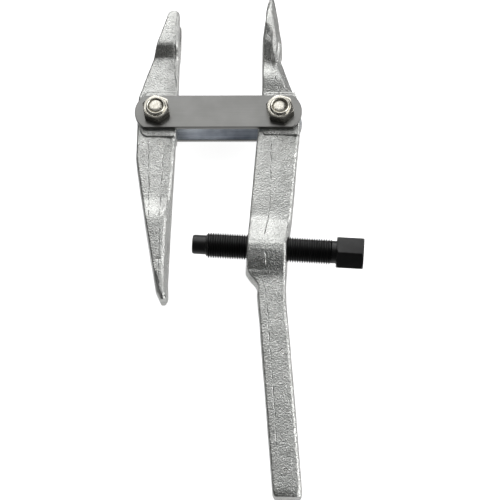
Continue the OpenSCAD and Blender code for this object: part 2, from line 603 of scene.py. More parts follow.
        return add_node(tree, "ShaderNodeBsdfPrincipled",
                        {"Base Color": lap_dirt_and_shade.outputs[2], "Metallic": 1.0,
                         "Roughness": dullness.outputs["Result"], "Normal": bump.outputs[0]})


@dataclass(frozen=True)
class SatinPlate(Finish):
    """Cold-rolled flat bar, belt-ground along its length and satin plated: an even grey with fine lines."""

    name: str = "Satin plated flat bar"
    light: str = "8E8E8C"
    dark: str = "80807E"
    # the belt's lines, drawn coarser than real so that they show
    line_mm: float = 0.35
    line_length_mm: float = 40.0
    cloud_mm: float = 22.0

    def dress(self, tree: bpy.types.NodeTree) -> bpy.types.Node:
        """Build the belt lines and the faint clouding.

        Args:
            tree: the empty node tree.

        Returns:
            The shader node.
        """
        where = add_node(tree, "ShaderNodeTexCoord").outputs["Object"]
        across = 1 / (self.line_mm * MM)
        stretched = add_node(tree, "ShaderNodeMapping",
                             {"Vector": where, "Scale": (1 / (self.line_length_mm * MM), across, across)})
        lines = add_node(tree, "ShaderNodeTexNoise",
                         {"Vector": stretched.outputs[0], "Scale": 1.0, "Detail": 3.0, "Roughness": 0.6})
        cloud = add_node(tree, "ShaderNodeTexNoise",
                         {"Vector": where, "Scale": 1 / (self.cloud_mm * MM), "Detail": 3.0})
        mixed = add_node(tree, "ShaderNodeMath", {0: lines.outputs["Fac"], 1: 0.5, 2: cloud.outputs["Fac"]},
                         operation="MULTIPLY_ADD")
        colour = self.blend(tree, mixed.outputs[0], [(0.55, self.dark), (0.95, self.light)])
        dullness = add_node(tree, "ShaderNodeMapRange",
                            {"Value": lines.outputs["Fac"], "From Min": 0.3, "From Max": 0.7,
                             "To Min": 0.30, "To Max": 0.38})
        bump = add_node(tree, "ShaderNodeBump", {"Height": lines.outputs["Fac"], "Strength": 0.35,
                                                 "Distance": 0.01 * MM})
        return add_node(tree, "ShaderNodeBsdfPrincipled",
                        {"Base Color": colour, "Metallic": 1.0, "Roughness": dullness.outputs["Result"],
                         "Normal": bump.outputs[0]})


@dataclass(frozen=True)
class ZincPlate(SatinPlate):
    """The same bar on its inner face, where the blue-white zinc was never ground."""

    name: str = "Blue-white zinc on flat bar"
    light: str = "EDF0F4"
    dark: str = "8D939C"
    line_mm: float = 1.4


@dataclass(frozen=True)
class PlatedFastener(Finish):
    """Machined steel fastener, zinc-nickel plated: smoother and warmer than the forgings."""

    name: str = "Zinc-nickel plated fastener"
    light: str = "E2DFD6"
    dark: str = "B3AFA3"
    fleck_mm: float = 0.8

    def dress(self, tree: bpy.types.NodeTree) -> bpy.types.Node:
        """Build a faint mottle that is brighter where it is smoother.

        Args:
            tree: the empty node tree.

        Returns:
            The shader node.
        """
        where = add_node(tree, "ShaderNodeTexCoord").outputs["Object"]
        fleck = add_node(tree, "ShaderNodeTexNoise",
                         {"Vector": where, "Scale": 1 / (self.fleck_mm * MM), "Detail": 4.0,
                          "Roughness": 0.65})
        colour = self.blend(tree, fleck.outputs["Fac"], [(0.35, self.dark), (0.62, self.light)])
        dullness = add_node(tree, "ShaderNodeMapRange",
                            {"Value": fleck.outputs["Fac"], "From Min": 0.3, "From Max": 0.7,
                             "To Min": 0.30, "To Max": 0.20})
        bump = add_node(tree, "ShaderNodeBump", {"Height": fleck.outputs["Fac"], "Strength": 0.4,
                                                 "Distance": 0.02 * MM})
        return add_node(tree, "ShaderNodeBsdfPrincipled",
                        {"Base Color": colour, "Metallic": 1.0, "Roughness": dullness.outputs["Result"],
                         "Normal": bump.outputs[0]})


@dataclass(frozen=True)
class BlackOxide(Finish):
    """Turned steel, black oxide with a film of oil: a deep black with a soft grey sheen."""

    name: str = "Black oxide steel"
    black: str = "050506"
    grey: str = "0C0D0E"
    mottle_mm: float = 2.5

    def dress(self, tree: bpy.types.NodeTree) -> bpy.types.Node:
        """Build the mottled black and its uneven oil film.

        Args:
            tree: the empty node tree.

        Returns:
            The shader node.
        """
        where = add_node(tree, "ShaderNodeTexCoord").outputs["Object"]
        mottle = add_node(tree, "ShaderNodeTexNoise",
                          {"Vector": where, "Scale": 1 / (self.mottle_mm * MM), "Detail": 5.0,
                           "Roughness": 0.6})
        colour = self.blend(tree, mottle.outputs["Fac"], [(0.35, self.black), (0.7, self.grey)])
        dullness = add_node(tree, "ShaderNodeMapRange",
                            {"Value": mottle.outputs["Fac"], "From Min": 0.3, "From Max": 0.7,
                             "To Min": 0.44, "To Max": 0.32})
        bump = add_node(tree, "ShaderNodeBump", {"Height": mottle.outputs["Fac"], "Strength": 0.3,
                                                 "Distance": 0.03 * MM})
        return add_node(tree, "ShaderNodeBsdfPrincipled",
                        {"Base Color": colour, "Metallic": 0.0, "IOR": 1.6,
                         "Roughness": dullness.outputs["Result"], "Normal": bump.outputs[0]})


@dataclass(frozen=True)
class NylonRing(Finish):
    """Moulded polyamide: milky, half matt."""

    name: str = "Natural nylon ring"

    def dress(self, tree: bpy.types.NodeTree) -> bpy.types.Node:
        """Build the milky plastic with faint flow marks.

        Args:
            tree: the empty node tree.

        Returns:
            The shader node.
        """
        where = add_node(tree, "ShaderNodeTexCoord").outputs["Object"]
        flow = add_node(tree, "ShaderNodeTexNoise", {"Vector": where, "Scale": 900.0, "Detail": 3.0})
        colour = self.blend(tree, flow.outputs["Fac"], [(0.3, "D9D5C6"), (0.7, "ECE9DE")])
        return add_node(tree, "ShaderNodeBsdfPrincipled",
                        {"Base Color": colour, "Roughness": 0.45, "IOR": 1.53})


@dataclass(frozen=True)
class BearingSteel(Finish):
    """Ground and hardened bearing ball: bright, with a few scuffs where it takes the thrust."""

    name: str = "Ground bearing steel"

    def dress(self, tree: bpy.types.NodeTree) -> bpy.types.Node:
        """Build the bright steel and its scuffs.

        Args:
            tree: the empty node tree.

        Returns:
            The shader node.
        """
        where = add_node(tree, "ShaderNodeTexCoord").outputs["Object"]
        scuff = add_node(tree, "ShaderNodeTexNoise", {"Vector": where, "Scale": 1500.0, "Detail": 4.0})
        dullness = add_node(tree, "ShaderNodeMapRange",
                            {"Value": scuff.outputs["Fac"], "From Min": 0.4, "From Max": 0.7,
                             "To Min": 0.10, "To Max": 0.25})
        return add_node(tree, "ShaderNodeBsdfPrincipled",
                        {"Base Color": linear("D6D6D8"), "Metallic": 1.0,
                         "Roughness": dullness.outputs["Result"]})


@dataclass(frozen=True)
class PaleSurface(Finish):
    """Matt white acrylic sheet of the studio table, lit from below."""

    name: str = "Matt white light table"
    # light from under the sheet, which keeps the shadows faint
    glow: float = 0.86

    def dress(self, tree: bpy.types.NodeTree) -> bpy.types.Node:
        """Build the matt white with a faint unevenness.

        Args:
            tree: the empty node tree.

        Returns:
            The shader node.
        """
        where = add_node(tree, "ShaderNodeTexCoord").outputs["Object"]
        cloud = add_node(tree, "ShaderNodeTexNoise", {"Vector": where, "Scale": 3.0, "Detail": 2.0})
        colour = self.blend(tree, cloud.outputs["Fac"], [(0.3, "F8F8F8"), (0.7, "FBFBFB")])
        return add_node(tree, "ShaderNodeBsdfPrincipled",
                        {"Base Color": colour, "Roughness": 0.8, "Specular IOR Level": 0.1,
                         "Emission Color": (1.0, 1.0, 1.0, 1.0), "Emission Strength": self.glow})


# ---------------------------------------------------------------- the forgings


@dataclass
class Forging:
    """A drop forging: taken from its CAD node, rounded, crowned and left with its die's waviness."""

    node: str
    body: Body
    pivot: Vector
    # the outline's left and right edge: X from the pivot and Y, in millimetres, from the tips downwards
    left_edge: Sequence[Point]
    right_edge: Sequence[Point]
    # half thickness along the arm, from Y below to Y above the pivot, in millimetres: sawn and finished
    sawn: Sequence[Point]
    forged: Sequence[Point]
    # how far the faces' edges stand in from the parting line, along the arm, in millimetres
    left_lean: Sequence[Point]
    right_lean: Sequence[Point]
    finish: PlatedForging
    # the machined pad round the pivot: left, right, low and high edge, in millimetres from the pivot
    pad: tuple[float, float, float, float]
    # the flat middle of each face: where it starts and ends across the width, from -1 to 1
    flat: tuple[float, float] = (-0.49, 0.31)
    # how the facets beside the flat middle fall away
    left_facet_deg: float = 4.0
    right_facet_deg: float = 6.0
    # the worn bevels along the right and the left edge of each face: half their width, and their fall
    edge_bevel_mm: float = 0.7
    edge_bevel_deg: float = 34.0
    left_bevel_mm: float = 0.4
    left_bevel_fall: float = 0.8
    # the folds beside the flat middle: depth on the left and on the right, and half their width
    fold_depths_mm: tuple[float, float] = (0.07, 0.10)
    fold_mm: float = 0.55
    pad_corner_mm: float = 6.0
    pad_chamfer_mm: float = 0.65
    # the steps of the pad's rim, from its edge inwards: width and height, in millimetres
    rim: tuple[Point, ...] = ((0.35, 0.0), (0.7, -0.24), (0.9, 0.24))
    # the size of the grid that the surface is remade with, and how often it is smoothed
    grain_mm: float = 0.5
    softening: int = 7
    # how softly one thickness runs into the next along the arm
    run_out_mm: float = 1.6
    half_thickness_mm: float = 6.5
    pad_half_mm: float = 7.25
    bore_mm: float = 5.12

    def across(self, points: np.ndarray) -> tuple[np.ndarray, np.ndarray, np.ndarray, np.ndarray]:
        """Read the points in the forging's own terms.

        Args:
            points: points in the row frame.

        Returns:
            How far each is across the width, from -1 at the left edge to 1 at the right, its half width in
            metres, its height above the middle plane in metres, and its Y from the pivot in millimetres.
        """
        local = points - np.array(self.pivot)
        edges = [np.array(edge)[::-1] * MM for edge in (self.left_edge, self.right_edge)]
        left, right = (np.interp(local[:, 1], edge[:, 1], edge[:, 0]) for edge in edges)
        half = np.maximum((right - left) / 2, 1e-6)
        return (local[:, 0] - (left + right) / 2) / half, half, local[:, 2], local[:, 1] / MM

    @staticmethod
    def shifted(points: np.ndarray, axis: int, shift: np.ndarray) -> np.ndarray:
        """Move points along one axis.

        Args:
            points: the points.
            axis: 0 for X, 1 for Y, 2 for Z.
            shift: how far each moves, in metres.

        Returns:
            The moved points.
        """
        moved = points.copy()
        moved[:, axis] += shift
        return moved

    def blank(self) -> Object:
        """Take the CAD shape without its pads, rounded all over.

        Returns:
            The blank.
        """
        piece = copy_of_node(self.node, self.node + "_forging")
        reach = Vector((30 * MM, 19 * MM, 0))
        face, past = self.half_thickness_mm * MM, 12 * MM
        for bottom, top in ((-past, -face), (face, past)):
            low, high = self.pivot - reach + Vector((0, 0, bottom)), self.pivot + reach + Vector((0, 0, top))
            combine(piece, block("pad_cutter", low, high), "DIFFERENCE")
        finish_with(piece, "REMESH", mode="VOXEL", voxel_size=self.grain_mm * MM)
        move_points(piece, self.reprofile)
        finish_with(piece, "SMOOTH", factor=0.5, iterations=self.softening)
        return piece

    def forged_thickness(self, up: np.ndarray) -> np.ndarray:
        """Read the forged half thickness, run out softly along the arm.

        Args:
            up: Y from the pivot of each point, in millimetres.

        Returns:
            The half thickness at each point, in millimetres.
        """
        step, reach = 0.25, 40
        line = np.arange(-270.0, 100.0, step)
        spread = np.exp(-0.5 * (np.arange(-reach, reach + 1) * step / self.run_out_mm) ** 2)
        padded = np.pad(read_table(self.forged, line), reach, mode="edge")
        return np.interp(up, line, np.convolve(padded, spread / spread.sum(), mode="valid"))

    def reprofile(self, points: np.ndarray) -> np.ndarray:
        """Change the half thickness along the arm from the sawn one to the forged one.

        Args:
            points: the forging's points.

        Returns:
            The moved points.
        """
        _, _, height, up = self.across(points)
        sawn = read_table(self.sawn, up)
        level = np.clip(np.abs(height) / MM / sawn, 0, 1)
        return self.shifted(points, 2, np.sign(height) * level * (self.forged_thickness(up) - sawn) * MM)

    def faces(self, points: np.ndarray) -> np.ndarray:
        """Give the sides their draft and the faces their facets, bevels and folds.

        Args:
            points: the forging's points.

        Returns:
            The moved points.
        """
        share, half, height, up = self.across(points)
        level = np.clip(np.abs(height) / MM / self.forged_thickness(up), 0, 1.2)
        moved = points
        for side, table in ((-1, self.left_lean), (1, self.right_lean)):
            draft = read_table(table, up) * level * MM
            moved = self.shifted(moved, 0, -side * smooth_step(0.0, 0.9, side * share) * draft)
        start, end = self.flat
        fall = np.maximum(start - share, 0) * half * math.tan(math.radians(self.left_facet_deg))
        fall += np.maximum(share - end, 0) * half * math.tan(math.radians(self.right_facet_deg))
        steep = math.tan(math.radians(self.edge_bevel_deg))
        for side, width_mm, slope in ((-1, self.left_bevel_mm, self.left_bevel_fall),
                                      (1, self.edge_bevel_mm, steep)):
            from_edge = (1 - side * share) * half
            fall += np.maximum(width_mm * MM * 2 - from_edge, 0) * slope * (np.abs(share) < 1.3)
        along = points[:, 1] / MM
        wander = 0.5 * np.sin(along * 0.9) + 0.35 * np.sin(along * 0.37 + 1.7)
        for border, depth_mm in zip(self.flat, self.fold_depths_mm):
            away = (share - border) * half / MM + 0.45 * wander
            fall += depth_mm * MM * np.exp(-((away / self.fold_mm) ** 2))
        on_face = np.clip(np.abs(height) / (self.half_thickness_mm * MM), 0, 1) ** 2
        return self.shifted(moved, 2, -np.sign(height) * fall * on_face)

    def waviness(self, piece: Object) -> None:
        """Press the die's unevenness into the surface, a broad one and a fine one.

        Args:
            piece: the forging.
        """
        for name, size_mm, depth_mm in (("die_wave", 11.0, 0.35), ("scale_marks", 1.6, 0.03)):
            texture = bpy.data.textures.new(name, "CLOUDS")
            texture.noise_scale = size_mm * MM
            texture.noise_depth = 2
            finish_with(piece, "DISPLACE", texture=texture, texture_coords="LOCAL",
                        strength=depth_mm * MM, mid_level=0.5)

    def flash_line(self, piece: Object) -> None:
        """Leave the ground-off flash standing proud along the parting line.

        Args:
            piece: the forging.
        """
        middle = self.pivot.z
        choose(piece, "VERT", lambda point: abs(point.co.z - middle) < 0.45 * MM
               and abs(point.normal.z) < 0.5 and self.outside(point.co))
        with editing(piece):
            bpy.ops.transform.shrink_fatten(value=-0.22 * MM)

    def outside(self, point: Vector) -> bool:
        """Tell whether a point is clear of the pivot bore."""
        return (point - self.pivot).to_2d().length > 2 * self.bore_mm * MM

    def machine_pads(self, piece: Object) -> None:
        """Add the flat pads round the pivot, with a pressed rim round each, and bore the hole.

        Args:
            piece: the forging.
        """
        left, right, low, high = (value * MM for value in self.pad)
        thick = self.pad_half_mm * MM
        pad = block("pivot_pad", self.pivot + Vector((left, low, -thick)),
                    self.pivot + Vector((right, high, thick)))
        corners = pad.data.vertices

        def left_upright(edge: bpy.types.MeshEdge) -> bool:
            """Tell whether an edge is one of the two left uprights."""
            one, other = (corners[i].co for i in edge.vertices)
            return abs(one.z - other.z) > thick and one.x < self.pivot.x

        choose(pad, "EDGE", left_upright)
        with editing(pad, "EDGE"):
            bpy.ops.mesh.bevel(offset=self.pad_corner_mm * MM, segments=8, affect="EDGES")
        break_edges(pad, self.pad_chamfer_mm, 1, 50)
        choose(pad, "FACE", lambda face: abs(face.normal.z) > 0.99)
        with editing(pad, "FACE"):
            for width_mm, rise_mm in self.rim:
                bpy.ops.mesh.inset(thickness=width_mm * MM, depth=rise_mm * MM)
        cuts = [((1, 0, 0), place_mm) for place_mm in range(-12, 14, 2)]
        cuts += [((0, 1, 0), place_mm) for place_mm in range(-16, 18, 2)]
        with editing(pad):
            for facing, place_mm in cuts:
                bpy.ops.mesh.select_all(action="SELECT")
                bpy.ops.mesh.bisect(plane_co=self.pivot + Vector(facing) * place_mm * MM, plane_no=facing)
        combine(pad, copy_of_node(self.node, "pad_outline"), "INTERSECT")
        combine(piece, pad, "UNION")
        bore = turned("bore_cutter", [(self.bore_mm, -30), (self.bore_mm, 30)])
        place(bore, Matrix.Translation(self.pivot))
        combine(piece, bore, "DIFFERENCE")

    def work(self, piece: Object) -> None:
        """Do what only this forging has, between rounding and the pads."""

    def build(self) -> Object:
        """Make the forging from its CAD node.

        Returns:
            The finished piece.
        """
        piece = self.blank()
        self.work(piece)
        move_points(piece, self.faces)
        self.waviness(piece)
        self.flash_line(piece)
        self.machine_pads(piece)
        shade(piece, 40)
        settle(piece, self.body, Slot.FORGING, self.finish, self.node)
        return piece


@dataclass
class ForkArm(Forging):
    """The short arm with the forked jaw."""

    def work(self, piece: Object) -> None:
        """Leave the small tool mark across the leg and round its tip."""
        move_points(piece, self.tool_mark)
        move_points(piece, self.round_tip)

    def tool_mark(self, points: np.ndarray) -> np.ndarray:
        """Press a short mark across the front of the leg.

        Args:
            points: the forging's points.

        Returns:
            The moved points.
        """
        right, up, front = ((points - np.array(self.pivot)) / MM).T
        span = smooth_step(2.2, 2.9, right) * (1 - smooth_step(6.3, 7.0, right))
        depth = 0.45 * np.exp(-(((up + 101.8) / 0.6) ** 2)) * span * (front > 5)
        return self.shifted(points, 2, -depth * MM)

    def round_tip(self, points: np.ndarray) -> np.ndarray:
        """Round the leg's tip down towards its left corner and its end.

        Args:
            points: the forging's points.

        Returns:
            The moved points.
        """
        share, half, height, up = self.across(points)
        near = np.minimum((1 + share) * half / MM, (up + 126.0) * 0.8 + 1.0)
        drop = np.maximum(2.6 - near, 0) * 0.9 * (1 - smooth_step(-118, -107, up)) * (np.abs(share) < 1.4)
        thick = smooth_step(4.0, 8.0, np.abs(height) / MM)
        return self.shifted(points, 2, -np.sign(height) * drop * thick * MM)


@dataclass
class LeverArm(Forging):
    """The long arm with the press finger, the threaded boss and the handle."""

    # how far the finger's outer side leans in from the middle plane to its faces: at its foot and above
    foot_bevel_mm: float = 4.4
    finger_bevel_mm: float = 3.2
    trough_mm: float = 1.3
    # how far the flare starts higher on the inner side, and how far its inner side falls
    slant_mm: float = 7.0
    twist_mm: float = 2.6

    def work(self, piece: Object) -> None:
        """Slant the finger's flare, bevel its outer side and trim the corner below the boss."""
        move_points(piece, self.slant_flare)
        move_points(piece, self.bevel_finger)
        move_points(piece, self.trim_corner)

    def slant_flare(self, points: np.ndarray) -> np.ndarray:
        """Start the flare higher on the inner side than on the outer side, and twist its faces.

        Args:
            points: the forging's points.

        Returns:
            The moved points.
        """
        share, _, height, up = self.across(points)
        thick = smooth_step(5.0, 9.0, np.abs(height) / MM)
        reach = smooth_step(33, 47, up) * (1 - smooth_step(52, 68, up))
        slanted = self.shifted(points, 1, -share * self.slant_mm * MM * reach * thick)
        twist = smooth_step(28, 38, up) * (1 - smooth_step(50, 62, up)) * np.clip(0.2 - share, 0, 1.2)
        return self.shifted(slanted, 2, -np.sign(height) * twist * self.twist_mm * MM * thick)

    def bevel_finger(self, points: np.ndarray) -> np.ndarray:
        """Lean the finger's outer side in, with a shallow trough along its middle.

        Args:
            points: the forging's points.

        Returns:
            The moved points.
        """
        share, _, height, up = self.across(points)
        thickness = read_table([(17, 6.5), (34, 6.5), (43, 10.4), (51, 14), (70, 14), (84, 11)], up)
        level = np.clip(np.abs(height) / MM / thickness, 0, 1)
        above_foot = smooth_step(38, 48, up)
        foot = smooth_step(14, 20, up) * (1 - above_foot) * self.foot_bevel_mm * level
        blade = above_foot * (1 - smooth_step(70, 84, up)) * self.finger_bevel_mm
        blade *= smooth_step(0.62, 1.0, level)
        trough = smooth_step(36, 46, up) * (1 - smooth_step(58, 70, up)) * self.trough_mm
        trough *= 1 - smooth_step(0.0, 0.6, level)
        return self.shifted(points, 0, -smooth_step(-0.2, 0.9, share) * (foot + blade + trough) * MM)

    def trim_corner(self, points: np.ndarray) -> np.ndarray:
        """Draw in the corner below the boss and fill out the finger's tip.

        Args:
            points: the forging's points.

        Returns:
            The moved points.
        """
        share, _, _, up = self.across(points)
        corner = smooth_step(-125, -116, up) * (1 - smooth_step(-114, -108, up))
        tip = smooth_step(60, 82, up) * np.clip(share, -1, 1)
        return self.shifted(points, 0, (1.7 * corner * smooth_step(0.2, 1.0, -share) + 0.9 * tip) * MM)


# ---------------------------------------------------------------- plates and fasteners


@dataclass
class LinkPlates:
    """The two flat bars that the arms turn between."""

    edge_mm: float = 0.4

    def build(self) -> list[Object]:
        """Make both plates from their CAD nodes, with broken edges.

        Returns:
            The front and the rear plate.
        """
        made = []
        for node in ("front_link_plate", "rear_link_plate"):
            piece = copy_of_node(node, node + "_bar")
            with editing(piece):
                bpy.ops.mesh.select_all(action="SELECT")
                bpy.ops.mesh.dissolve_limited(angle_limit=math.radians(1))
            break_edges(piece, self.edge_mm, 3, 50)
            shade(piece, 30)
            finish_with(piece, "WEIGHTED_NORMAL", keep_sharp=True)
            settle(piece, Body.LINKS, Slot.PLATE, SatinPlate(), node)
            inward = 1 if node == "rear_link_plate" else -1
            piece.data.materials.append(ZincPlate().material())
            for polygon in piece.data.polygons:
                if polygon.normal.z * inward > 0.9:
                    polygon.material_index = 1
            made.append(piece)
        return made


@dataclass
class PivotSet:
    """One pivot bolt with its lock nut."""

    side: str
    # how far the end of the bolt lies under the rim of the nut
    recess_mm: float
    nut_turn_deg: float
    flats_mm: float = 16.0
    head_mm: float = 6.4
    bolt_mm: float = 5.0
    nut_mm: float = 8.0
    centre: Vector = field(init=False)
    nut_base: float = field(init=False)

    def __post_init__(self) -> None:
        """Read the bolt's place from its CAD nodes."""
        low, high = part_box(f"{self.side}_pivot_bolt")
        self.centre = Vector(((low.x + high.x) / 2, (low.y + high.y) / 2, low.z))
        self.nut_base = (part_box(f"{self.side}_lock_nut")[0].z - low.z) / MM

    def bolt(self) -> Object:
        """Make the bolt: chamfered hexagon head, shank, and a threaded end with its first turns cut.

        Returns:
            The bolt.
        """
        end = self.nut_base + self.nut_mm - self.recess_mm
        name = f"{self.side}_pivot_bolt_m10"
        head = hexagon_bar(name, self.flats_mm, 0.0, self.head_mm, 20.0)
        dish = turned("dish_cutter", [(5.6, -1.0), (5.6, 0.25), (5.1, 0.35)])
        combine(head, dish, "DIFFERENCE")
        rings: list[Point] = [(self.bolt_mm, self.head_mm - 1), (self.bolt_mm, self.nut_base + 0.5)]
        height = self.nut_base + 0.6
        while height < end - 1.9:
            rings += [(4.9, height), (4.25, height + 0.55), (4.25, height + 0.75), (4.9, height + 1.3)]
            height += 1.5
        rings += [(4.9, end - 1.0), (4.45, end - 0.5), (4.0, end - 0.12), (3.8, end), (1.6, end + 0.01)]
        shank = turned("shank", rings)
        combine(head, shank, "UNION")
        place(head, Matrix.Translation(self.centre))
        shade(head, 35)
        settle(head, Body.LINKS, Slot.FASTENER, PlatedFastener(), f"{self.side}_pivot_bolt")
        return head

    def nut(self) -> Object:
        """Make the lock nut: chamfered hexagon with a rolled collar over the plastic ring.

        Returns:
            The nut.
        """
        base, top = self.nut_base, self.nut_base + self.nut_mm
        name = f"{self.side}_lock_nut_m10"
        nut = hexagon_bar(name, self.flats_mm, base, top - 2.0, self.nut_turn_deg)
        collar = turned("collar", [(6.55, base + 2), (6.55, top - 2.2), (6.35, top - 1.6), (6.15, top - 0.8),
                                   (5.9, top - 0.25), (5.6, top), (5.25, top - 0.02), (5.0, top - 0.25)])
        combine(nut, collar, "UNION")
        pocket = turned("pocket", [(5.9, top - 3.0), (5.9, top - 0.7), (5.02, top - 0.5), (5.02, top + 1)])
        combine(nut, pocket, "DIFFERENCE")
        bore = turned("bore", [(self.bolt_mm + 0.01, base - 1), (self.bolt_mm + 0.01, top + 1)])
        combine(nut, bore, "DIFFERENCE")
        place(nut, Matrix.Translation(self.centre))
        shade(nut, 35)
        settle(nut, Body.LINKS, Slot.FASTENER, PlatedFastener(), f"{self.side}_lock_nut")
        return nut

    def build(self) -> list[Object]:
        """Make the bolt and the nut, and dress the plastic ring.

        Returns:
            The two new pieces.
        """
        dress_node(f"{self.side}_nut_insert", NylonRing())
        return [self.bolt(), self.nut()]


def dress_node(node: str, finish: Finish) -> None:
    """Give a CAD node that stays in view its finish.

    Args:
        node: the CAD node.
        finish: the surface finish.
    """
    piece = frame["nodes"][node]
    if not piece.material_slots:
        piece.data.materials.append(finish.material())
    for slot in piece.material_slots:
        slot.material = finish.material()
    log.info("%s: CAD node in %s", node, finish.name)


@dataclass
class PressureScrew:
    """The M16 screw: smooth nose, rolled thread, turned neck and hexagon head."""

    pitch_mm: float = 1.5
    crest_mm: float = 8.0
    root_mm: float = 6.8
    nose_end_mm: float = 9.0
    thread_end_mm: float = 87.4
    head_low_mm: float = 90.0
    head_high_mm: float = 107.0
    flats_mm: float = 19.0
    head_turn_deg: float = 23.0
    steps: int = 40
    place_at: Matrix = field(init=False)

    def __post_init__(self) -> None:
        """Read the screw's line from the joint that it turns on."""
        spin = next(joint for joint in frame["joints"] if joint["name"] == "screw_spin")
        back = -Vector(spin["axis"])
        side = Vector((0, 0, 1)).cross(back)
        turn = Matrix((-Vector((0, 0, 1)), side, back)).transposed().to_4x4()
        self.place_at = Matrix.Translation(Vector(spin["pos_m"])) @ turn

    def thread(self) -> Object:
        """Wind the thread's profile up the screw and trim it to the turned ends.

        Returns:
            The threaded length.
        """
        start = self.nose_end_mm - 1.5
        turns = math.ceil((self.thread_end_mm + 2.0 - start) / self.pitch_mm)
        deselect()
        bpy.ops.mesh.primitive_plane_add(size=MM, location=(self.root_mm * MM, 0, start * MM))
        rod = added("rolled_thread")
        rise = (self.crest_mm - self.root_mm) * MM
        flank, crest, root = (share * self.pitch_mm * MM for share in (0.32, 0.12, 0.24))
        with editing(rod):
            bpy.ops.mesh.select_all(action="SELECT")
            bpy.ops.mesh.merge(type="CENTER")
            for step in ((rise, 0, flank), (0, 0, crest), (-rise, 0, flank), (0, 0, root)):
                bpy.ops.mesh.extrude_region_move(TRANSFORM_OT_translate={"value": step})
        finish_with(rod, "SCREW", axis="Z", angle=2 * math.pi, screw_offset=self.pitch_mm * MM,
                    iterations=turns, steps=self.steps, render_steps=self.steps,
                    use_merge_vertices=True, merge_threshold=0.001 * MM)
        merge_doubles(rod)
        self.close_ends(rod, start, turns)
        low, high = self.nose_end_mm + 0.2, self.thread_end_mm
        envelope = turned("thread_envelope", [(6.7, low), (self.crest_mm + 0.05, low + 1.3),
                                              (self.crest_mm + 0.05, high - 1.2), (6.7, high)], 80)
        combine(rod, envelope, "INTERSECT")
        return rod

    def close_ends(self, rod: Object, start: float, turns: int) -> None:
        """Close both ends of the wound thread to a point on its axis.

        Args:
            rod: the wound thread.
            start: the height of its lower end, in millimetres.
            turns: how many turns it has.
        """
        middle = (start + turns * self.pitch_mm / 2) * MM
        for upper in (False, True):
            with editing(rod):
                bpy.ops.mesh.select_all(action="DESELECT")
                bpy.ops.mesh.select_non_manifold(extend=False, use_wire=False, use_multi_face=False,
                                                 use_non_contiguous=False, use_verts=False)
            for vertex in rod.data.vertices:
                vertex.select = vertex.select and (vertex.co.z > middle) == upper
            for edge in rod.data.edges:
                edge.select = edge.select and all(rod.data.vertices[i].select for i in edge.vertices)
            with editing(rod):
                bpy.ops.mesh.extrude_edges_move(TRANSFORM_OT_translate={"value": (0, 0, 0)})
                bpy.ops.mesh.merge(type="CENTER")
        with editing(rod):
            bpy.ops.mesh.select_all(action="SELECT")
            bpy.ops.mesh.normals_make_consistent(inside=False)

    def build(self) -> Object:
        """Make the whole screw as one closed piece.

        Returns:
            The screw.
        """
        screw = self.thread()
        screw.name = "pressure_screw_m16"
        nose = turned("nose", [(4.6, 0.3), (5.4, 0.42), (5.8, 0.8), (6.0, 1.6), (6.0, self.nose_end_mm - 0.5),
                               (6.15, self.nose_end_mm - 0.1), (6.8, self.nose_end_mm + 0.25),
                               (6.8, self.nose_end_mm + 3)])
        combine(screw, nose, "UNION")
        neck = turned("neck", [(6.8, self.thread_end_mm - 3), (7.0, self.thread_end_mm),
                               (7.0, self.head_low_mm - 0.6), (7.3, self.head_low_mm + 0.5)])
        combine(screw, neck, "UNION")
        head = hexagon_bar("head", self.flats_mm, self.head_low_mm, self.head_high_mm, self.head_turn_deg)
        combine(screw, head, "UNION")
        seat = turned("ball_seat", [(2.0, -1), (2.2, 0.35), (2.86, 2.0), (3.05, 3.0), (2.86, 4.1),
                                    (1.5, 5.5)], 32)
        combine(screw, seat, "DIFFERENCE")
        place(screw, self.place_at)
        shade(screw, 30)
        settle(screw, Body.SCREW, Slot.BLACK, BlackOxide(), "pressure_screw")
        dress_node("thrust_ball", BearingSteel())
        return screw


# ---------------------------------------------------------------- the studio


@dataclass(frozen=True)
class SoftBox:
    """A large soft light aimed at the tool."""

    name: str
    centre: tuple[float, float, float]
    size: tuple[float, float]
    radiance: float
    aim: tuple[float, float, float]

    def build(self) -> None:
        """Hang the light and aim it."""
        light = bpy.data.lights.new(self.name, "AREA")
        light.shape = "RECTANGLE"
        light.size, light.size_y = self.size
        light.energy = self.radiance * 4 * self.size[0] * self.size[1]
        lamp = bpy.data.objects.new(self.name, light)
        lamp.location = self.centre
        facing = Vector(self.aim) - Vector(self.centre)
        lamp.rotation_euler = facing.to_track_quat("-Z", "Y").to_euler()
        lamp.visible_camera = False
        bpy.context.scene.collection.objects.link(lamp)


